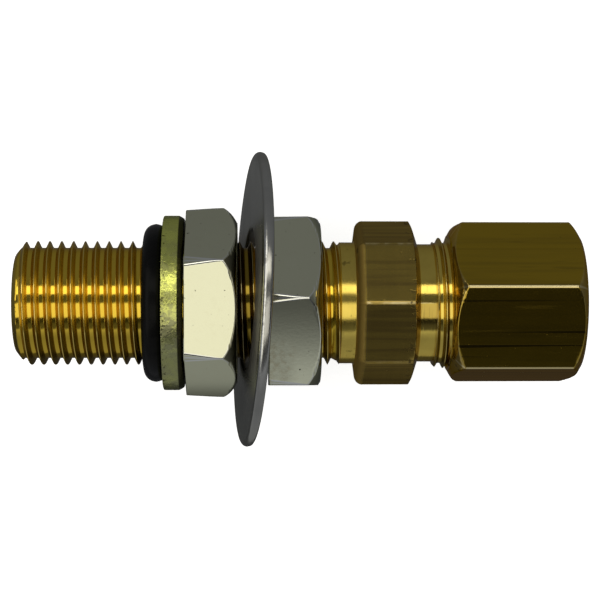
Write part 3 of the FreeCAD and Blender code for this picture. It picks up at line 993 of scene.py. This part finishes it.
class MakeLocknuts(bpy.types.Operator):
    """Makes the two plated locknuts"""
    bl_idname = "tank_connector.locknuts"
    bl_label = "Locknuts"

    def execute(self, context):
        settings = context.scene.tank_connector
        finish = plate_finish(settings.finish, span("flange_locknut")[0])
        for node, turn in (("seal_locknut", settings.locknut.seal_turn),
                           ("flange_locknut", settings.locknut.flange_turn)):
            piece = self.make_nut(settings, node, turn)
            place_piece(piece, node, node, finish)
        return {"FINISHED"}

    def make_nut(self, settings, node, turn):
        """One nut: eased corners at the bearing face, a steep chamfer at the back, and its thread."""
        nut = settings.locknut
        start, end = span(node)
        hexagon = Prism(nut.flats, 6, turn, nut.corner, near=math.radians(5.0), flat_steps=14,
                        corner_steps=14)
        corner = hexagon.point_radius
        land = corner - nut.corner_relief
        face = corner - nut.chamfer / math.tan(nut.chamfer_angle)
        relief_end = start + nut.relief_length
        chamfer_x = end - nut.chamfer
        stations = spread((start + nut.edge, relief_end, 18), (relief_end, chamfer_x, 2),
                          (chamfer_x, end - nut.edge, 26))
        front = land + (corner - land) * np.clip((stations - start) / nut.relief_length, 0, 1)
        back = arc(stations, (chamfer_x, corner), (end, face), nut.bow)
        r, edge = hexagon.cut(np.minimum(front, back), nut.ease)
        bore = mount_radius("tank_thread") + nut.clearance
        shell = Shell(hexagon.angles)

        def low(x):
            return bore + nut.countersink - np.minimum(x - start, end - x)

        thread = long_thread(settings.body, nut.clearance, low=low)
        shell.band((start, bore + nut.countersink), (start, r[0] - nut.edge), (start + nut.edge, r[0]))
        # The turned back chamfer is marked -1, which the plate finish darkens on the first nut as painted
        # shade
        turned = np.clip((hexagon.radius() - r) / nut.edge - 0.5, 0, 1)
        turned = turned * (stations > chamfer_x)[:, None]
        shell.add(stations, r, np.maximum(edge, hexagon.corner_wear()) * (1 - turned) - turned)
        shell.band((end - nut.edge, r[-1]), (end, r[-1] - nut.edge), (end, bore + nut.countersink))
        shell.thread(thread, start, end, inside=True)
        return shell.build(node + "_dressed")


class MakeFlange(bpy.types.Operator):
    """Makes the loose flange washer"""
    bl_idname = "tank_connector.flange"
    bl_label = "Flange washer"

    # Waves round the rim, each a count and a start, and how strongly the middle rings of its front round
    # take the painted highlight
    WAVES = ((5, 0.7), (11, 2.1))
    RUBBED = (0.5, 1, 1, 0.6, 0.2)
    # How far inside the rim rings hold the flat faces, in sizes of its front round
    FACE_RINGS = (4, 1.4)

    def execute(self, context):
        settings = context.scene.tank_connector
        flange = settings.flange
        low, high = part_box("flange_washer")
        half = flange.thickness / 2
        columns = even_angles(240)
        wave = 0.5 + 0.25 * sum(np.sin(count * columns + start) for count, start in self.WAVES)
        rim = flange.radius - flange.wave * wave
        ease = 0.25 * MM
        front, back, inner = flange.front_round, flange.back_round, flange.hole_round
        shell = Shell(columns)
        rings = self.round_edge(inner - half, flange.hole + inner, inner, 270)
        rings += [(-half, rim - share * front) for share in self.FACE_RINGS]
        highlight_from = len(rings) + 2
        rings += self.round_edge(front - half, rim - front, front, 180)
        rings += self.round_edge(half - back, rim - flange.draft - back, back, 90)
        rings += [(half, rim - self.FACE_RINGS[0] * front), (half, flange.hole + ease),
                  (half - ease, flange.hole), (inner - half, flange.hole)]
        wear = np.zeros(len(rings))
        wear[highlight_from:highlight_from + len(self.RUBBED)] = self.RUBBED
        shell.band(*rings, wear=wear)
        slopes = math.tan(flange.lean_y), math.tan(flange.lean_z)
        lean = Vector((1, 0, 0)).rotation_difference(Vector((1, -slopes[0], -slopes[1])))
        middle = Vector(((low.x + high.x) / 2, flange.rise, 0))
        piece = shell.build("flange_washer_dressed", Matrix.Translation(middle) @ lean.to_matrix().to_4x4())
        finish = disc_finish(settings.finish, flange.hole, flange.radius)
        place_piece(piece, "flange_washer", "flange", finish)
        return {"FINISHED"}

    @staticmethod
    def round_edge(x, r, size, first):
        """Rings of a quarter round about (x, r). Angles run from +X outwards and fall from the first one."""
        turns = np.radians(np.linspace(first, first - 90, 9))
        return [(x + size * math.cos(turn), r + size * math.sin(turn)) for turn in turns]


class MakeCompression(bpy.types.Operator):
    """Makes the olive and the compression nut"""
    bl_idname = "tank_connector.compression"
    bl_label = "Compression end"

    # A point's share in the chamfer's edge, below which a corner of the nut takes its full edge lightening
    CLEAR_OF_EDGE = 0.05

    def execute(self, context):
        settings = context.scene.tank_connector
        self.make_olive(settings)
        self.make_nut(settings)
        return {"FINISHED"}

    def make_olive(self, settings):
        """A ring with a cone at each end and an eased middle."""
        sizes = settings.compression
        start, end = span("olive")
        inner = mount_radius("pipe_socket")
        cone = (sizes.olive_wall - sizes.olive_end) / math.tan(settings.body.seat_angle)
        ease = 0.2 * MM
        top = inner + sizes.olive_wall
        drop = ease * math.tan(settings.body.seat_angle)
        eased = top - drop * EASED_MIDDLE
        shell = Shell(even_angles(128))
        shell.band((start, inner), (start, inner + sizes.olive_end), (start + cone - ease, top - drop),
                   (start + cone, eased), (start + cone + ease, top), (end - cone - ease, top),
                   (end - cone, eased), (end - cone + ease, top - drop),
                   (end, inner + sizes.olive_end), (end, inner), (start, inner))
        finish = nut_brass_finish(settings.finish, top, "brass_olive", along=1.2)
        place_piece(shell.build("olive_dressed"), "olive", "olive", finish)

    def make_nut(self, settings):
        """A long hexagon with chamfered ends, its thread, the cone behind the olive and the pipe hole."""
        sizes = settings.compression
        start, end = span("compression_nut")
        hexagon = Prism(sizes.flats, 6, sizes.turn, sizes.corner, near=math.radians(3.0), flat_steps=18,
                        corner_steps=12)
        corner = hexagon.point_radius
        face = sizes.flats / 2 - sizes.face_step
        chamfer = (corner - face) * math.tan(sizes.chamfer_angle)
        stations = spread((start + sizes.edge, start + chamfer, 24), (start + chamfer, end - chamfer, 6),
                          (end - chamfer, end - sizes.edge, 24))
        front = arc(stations, (start, face), (start + chamfer, corner), sizes.bow)
        back = arc(stations, (end - chamfer, corner), (end, face), sizes.bow)
        r, edge = hexagon.cut(np.minimum(front, back), sizes.ease)
        shell = Shell(hexagon.angles)
        major = settings.body.spigot_radius + sizes.clearance
        shoulder, cone = self.cone(settings)
        thread = spigot_thread(settings.body, sizes.clearance, low=lambda x: major - (x - start))
        hole = cone[-1][1]
        shell.band((start, major), (start, r[0] - sizes.edge), (start + sizes.edge, r[0]))
        turned = np.clip((hexagon.radius() - r) / sizes.edge, 0, 1)
        clear = edge < self.CLEAR_OF_EDGE
        shell.add(stations, r, np.maximum(turned * CHAMFER_WEAR, hexagon.corner_wear() * clear))
        shell.band((end - sizes.edge, r[-1]), (end, r[-1] - sizes.edge), (end, hole + sizes.mouth),
                   (end - sizes.mouth, hole), *reversed(cone),
                   (shoulder, thread.radius(shoulder, hexagon.angles)))
        shell.thread(thread, start, shoulder, inside=True)
        piece = shell.build("compression_nut_dressed")
        place_piece(piece, "compression_nut", "compression_nut",
                    nut_brass_finish(settings.finish, cone[0][1]))

    def cone(self, settings):
        """Where the cone behind the olive starts, and its two ends."""
        sizes = settings.compression
        slope = math.tan(settings.body.seat_angle)
        hole = mount_radius("pipe_socket") + sizes.hole
        wide = hole + sizes.olive_wall
        gap = sizes.cone_gap / math.sin(settings.body.seat_angle)
        tip = span("olive")[1] + gap + (sizes.olive_end - sizes.hole) / slope
        shoulder = tip - (wide - hole) / slope
        return shoulder, [(shoulder, wide), (tip, hole)]


class MakeStage(bpy.types.Operator):
    """Makes the floor, the surroundings, the lamps and the camera"""
    bl_idname = "tank_connector.stage"
    bl_label = "Stage"

    # How far the floor and the lowest card lie under the part
    FLOOR_GAP = 0.6 * MM
    CARD_GAP = 0.3 * MM
    # The angles from +Z towards +Y that the long lamps span, in degrees
    UPPER_LAMP = (18, 35)
    LOWER_LAMP = (-30, 0)
    # The end lamp: the height it aims at, where it hangs from there, its width and its height
    END_AIM_HEIGHT = 0.02
    END_LAMP_PLACE = (-0.42, 0.02, 0.28)
    END_LAMP_SIZE = (0.80, 0.30)
    # Width of the camera's sensor, in millimetres
    SENSOR_WIDTH = 36.0

    def execute(self, context):
        stage = context.scene.tank_connector.stage
        self.make_floor(stage)
        self.make_tent()
        self.make_world(stage)
        self.make_lamps(stage)
        self.make_camera(stage)
        context.scene.view_settings.view_transform = "Standard"
        return {"FINISHED"}

    @staticmethod
    def seen(graph):
        """1 for rays from the camera, from gloss and through glass, and 0 for the rest."""
        path = graph.add("ShaderNodeLightPath").socket.node
        camera, glossy, through = (Wire(graph, path.outputs[name])
                                   for name in ("Is Camera Ray", "Is Glossy Ray", "Is Transmission Ray"))
        return camera + glossy + through

    def make_floor(self, stage):
        """A plain pale floor that keeps the part's shadow."""
        half = 12.0
        z = CAD_BOX[0].z - self.FLOOR_GAP
        corners = [(-half, -half, z), (half, -half, z), (half, half, z), (-half, half, z)]
        mesh = bpy.data.meshes.new("floor")
        mesh.from_pydata(corners, [], [(0, 1, 2, 3)])
        floor = add_object("floor", mesh)
        graph = Graph.material("pale_floor")
        paper = graph.noise(graph.place(), 0.004, detail=2)
        tint = graph.mix(paper * 0.03, stage.floor, stage.floor_shade)
        dull = graph.add("ShaderNodeBsdfDiffuse", inputs={"Color": tint})
        glow = graph.add("ShaderNodeEmission", inputs={"Strength": self.seen(graph) * stage.floor_glow})
        mesh.materials.append(graph.output(graph.add("ShaderNodeAddShader", inputs={0: dull, 1: glow})))

    def make_tent(self):
        """Grey cards round the part, seen only in its gloss: a tunnel along the axis with closed ends."""
        low = CAD_BOX[0].z - self.CARD_GAP
        outline = [(-0.05, low), (0.05, low), (0.30, 0.10), (0.62, 0.40), (0.45, 0.75), (-0.45, 0.75),
                   (-0.62, 0.40), (-0.30, 0.10)]
        near, far = -0.9, 0.95
        count = len(outline)
        points = [(x, y, z) for x in (near, far) for y, z in outline]
        faces = [(i, (i + 1) % count, count + (i + 1) % count, count + i) for i in range(count)]
        faces += [tuple(range(count)), tuple(range(count, 2 * count))]
        mesh = bpy.data.meshes.new("tent")
        mesh.from_pydata(points, [], faces)
        tent = add_object("tent", mesh)
        graph = Graph.material("grey_cards")
        y, z = graph.axes(graph.place())[1:]
        turn = y.math("ARCTAN2", y, z) / TURN + 0.5
        grey = graph.add("ShaderNodeValToRGB", {"stops": self.card_stops()}, {"Fac": turn})
        mesh.materials.append(graph.output(graph.add("ShaderNodeEmission", inputs={"Color": grey})))
        graph.owner.cycles.emission_sampling = "NONE"
        for ray in ("camera", "diffuse", "transmission", "shadow", "volume_scatter"):
            setattr(tent, "visible_" + ray, False)

    @staticmethod
    def card_stops():
        """Greys of the cards by their angle from +Z, from -Y through +Z to +Y."""
        cool = np.array((0.96, 1.0, 1.06))
        greys = ((-180, 0.085), (-158, 0.085), (-148, 0.06), (-120.5, 0.07), (-118, 0.31), (-75, 0.24),
                 (-64, 0.32), (-56.5, 0.46), (-54.2, 0.07), (-48, 0.095), (-43, 0.085), (-40, 0.03),
                 (-31, 0.025), (0, 0.09), (18, 0.09), (36, 0.12), (50, 0.155), (95, 0.145), (118, 0.14),
                 (150, 0.10), (180, 0.085))
        return [(degrees / 360 + 0.5, tuple(cool * grey)) for degrees, grey in greys]

    def make_world(self, stage):
        """Soft light from all round, and white where it is seen."""
        graph = Graph(bpy.data.worlds.new("studio"))
        strength = stage.ambient + self.seen(graph) * (1 - stage.ambient)
        sky = graph.add("ShaderNodeBackground", inputs={"Color": (1, 1, 1, 1), "Strength": strength})
        bpy.context.scene.world = graph.output(sky, "ShaderNodeOutputWorld")

    def make_lamps(self, stage):
        """Two long soft lamps over the part, along its axis, and one low lamp at the tank end."""
        middle = Vector(((stage.lamp_start + stage.lamp_end) / 2, 0, 0))
        for name, (near, far), radiance in (("lamp_upper", self.UPPER_LAMP, stage.upper_level),
                                            ("lamp_lower", self.LOWER_LAMP, stage.lower_level)):
            tilt = math.radians((near + far) / 2)
            width = 2 * stage.lamp_height * math.tan(math.radians(far - near) / 2)
            place = middle + stage.lamp_height * Vector((0, math.sin(tilt), math.cos(tilt)))
            self.lamp(name, place, middle, stage.lamp_end - stage.lamp_start, width, radiance, stage)
        aim = Vector((span("flange_washer")[0], 0, self.END_AIM_HEIGHT))
        place = aim + Vector(self.END_LAMP_PLACE)
        self.lamp("lamp_end", place, aim, *self.END_LAMP_SIZE, stage.end_level, stage)

    @staticmethod
    def lamp(name, place, aim, width, height, radiance, stage):
        """A soft rectangular lamp; its longer side is level."""
        data = bpy.data.lights.new(name, "AREA")
        data.shape = "RECTANGLE"
        data.size = width
        data.size_y = height
        data.color = stage.lamp_colour
        data.energy = radiance * math.pi * width * height
        lamp = add_object(name, data)
        back = (place - aim).normalized()
        side = Vector((1, 0, 0)) if abs(back.x) < 0.5 else Vector((0, 1, 0))
        lamp.matrix_world = facing(place, back, side)
        lamp.visible_camera = False

    def make_camera(self, stage):
        """The camera over the part, looking down on it with +Y up in the picture."""
        data = bpy.data.cameras.new("camera")
        data.lens = stage.lens
        data.sensor_width = self.SENSOR_WIDTH
        camera = add_object("camera", data)
        place = Vector(stage.camera_place)
        back = (place - Vector(stage.camera_aim)).normalized()
        camera.matrix_world = facing(place, back, Vector((0, 1, 0)).cross(back))
        bpy.context.scene.camera = camera


def facing(place, back, side):
    """A place and a turn: local Z points back, and local X lies as near to side as it can."""
    up = back.cross(side).normalized()
    right = up.cross(back)
    return Matrix.Translation(place) @ Matrix((right, up, back)).transposed().to_4x4()


class ConnectorPanel(bpy.types.Panel):
    """Lists the operators and the settings"""
    bl_idname = "VIEW3D_PT_tank_connector"
    bl_label = "Tank connector"
    bl_space_type = "VIEW_3D"
    bl_region_type = "UI"
    bl_category = "Tank connector"

    def draw(self, context):
        settings = context.scene.tank_connector
        for operator in OPERATORS:
            self.layout.operator(operator.bl_idname)
        for name in ConnectorSettings.__annotations__:
            group = getattr(settings, name)
            box = self.layout.box()
            box.label(text=settings.bl_rna.properties[name].name)
            for key in type(group).__annotations__:
                box.prop(group, key)


GROUPS = (BodySizes, SealSizes, LocknutSizes, FlangeSizes, CompressionSizes, Finishes, StageSettings,
          ConnectorSettings)
OPERATORS = (MakeFitting, MakeSeal, MakeLocknuts, MakeFlange, MakeCompression, MakeStage)


def register():
    """Registers the classes and the settings."""
    for kind in (*GROUPS, *OPERATORS, ConnectorPanel):
        bpy.utils.register_class(kind)
    bpy.types.Scene.tank_connector = PointerProperty(type=ConnectorSettings, name="Tank connector",
                                                     description="Settings of the tank connector")


def unregister():
    """Removes the settings and the classes."""
    del bpy.types.Scene.tank_connector
    for kind in reversed((*GROUPS, *OPERATORS, ConnectorPanel)):
        bpy.utils.unregister_class(kind)


def main():
    """Makes every piece and the stage."""
    register()
    for operator in OPERATORS:
        group, name = operator.bl_idname.split(".")
        getattr(getattr(bpy.ops, group), name)()


if __name__ == "__main__":
    main()
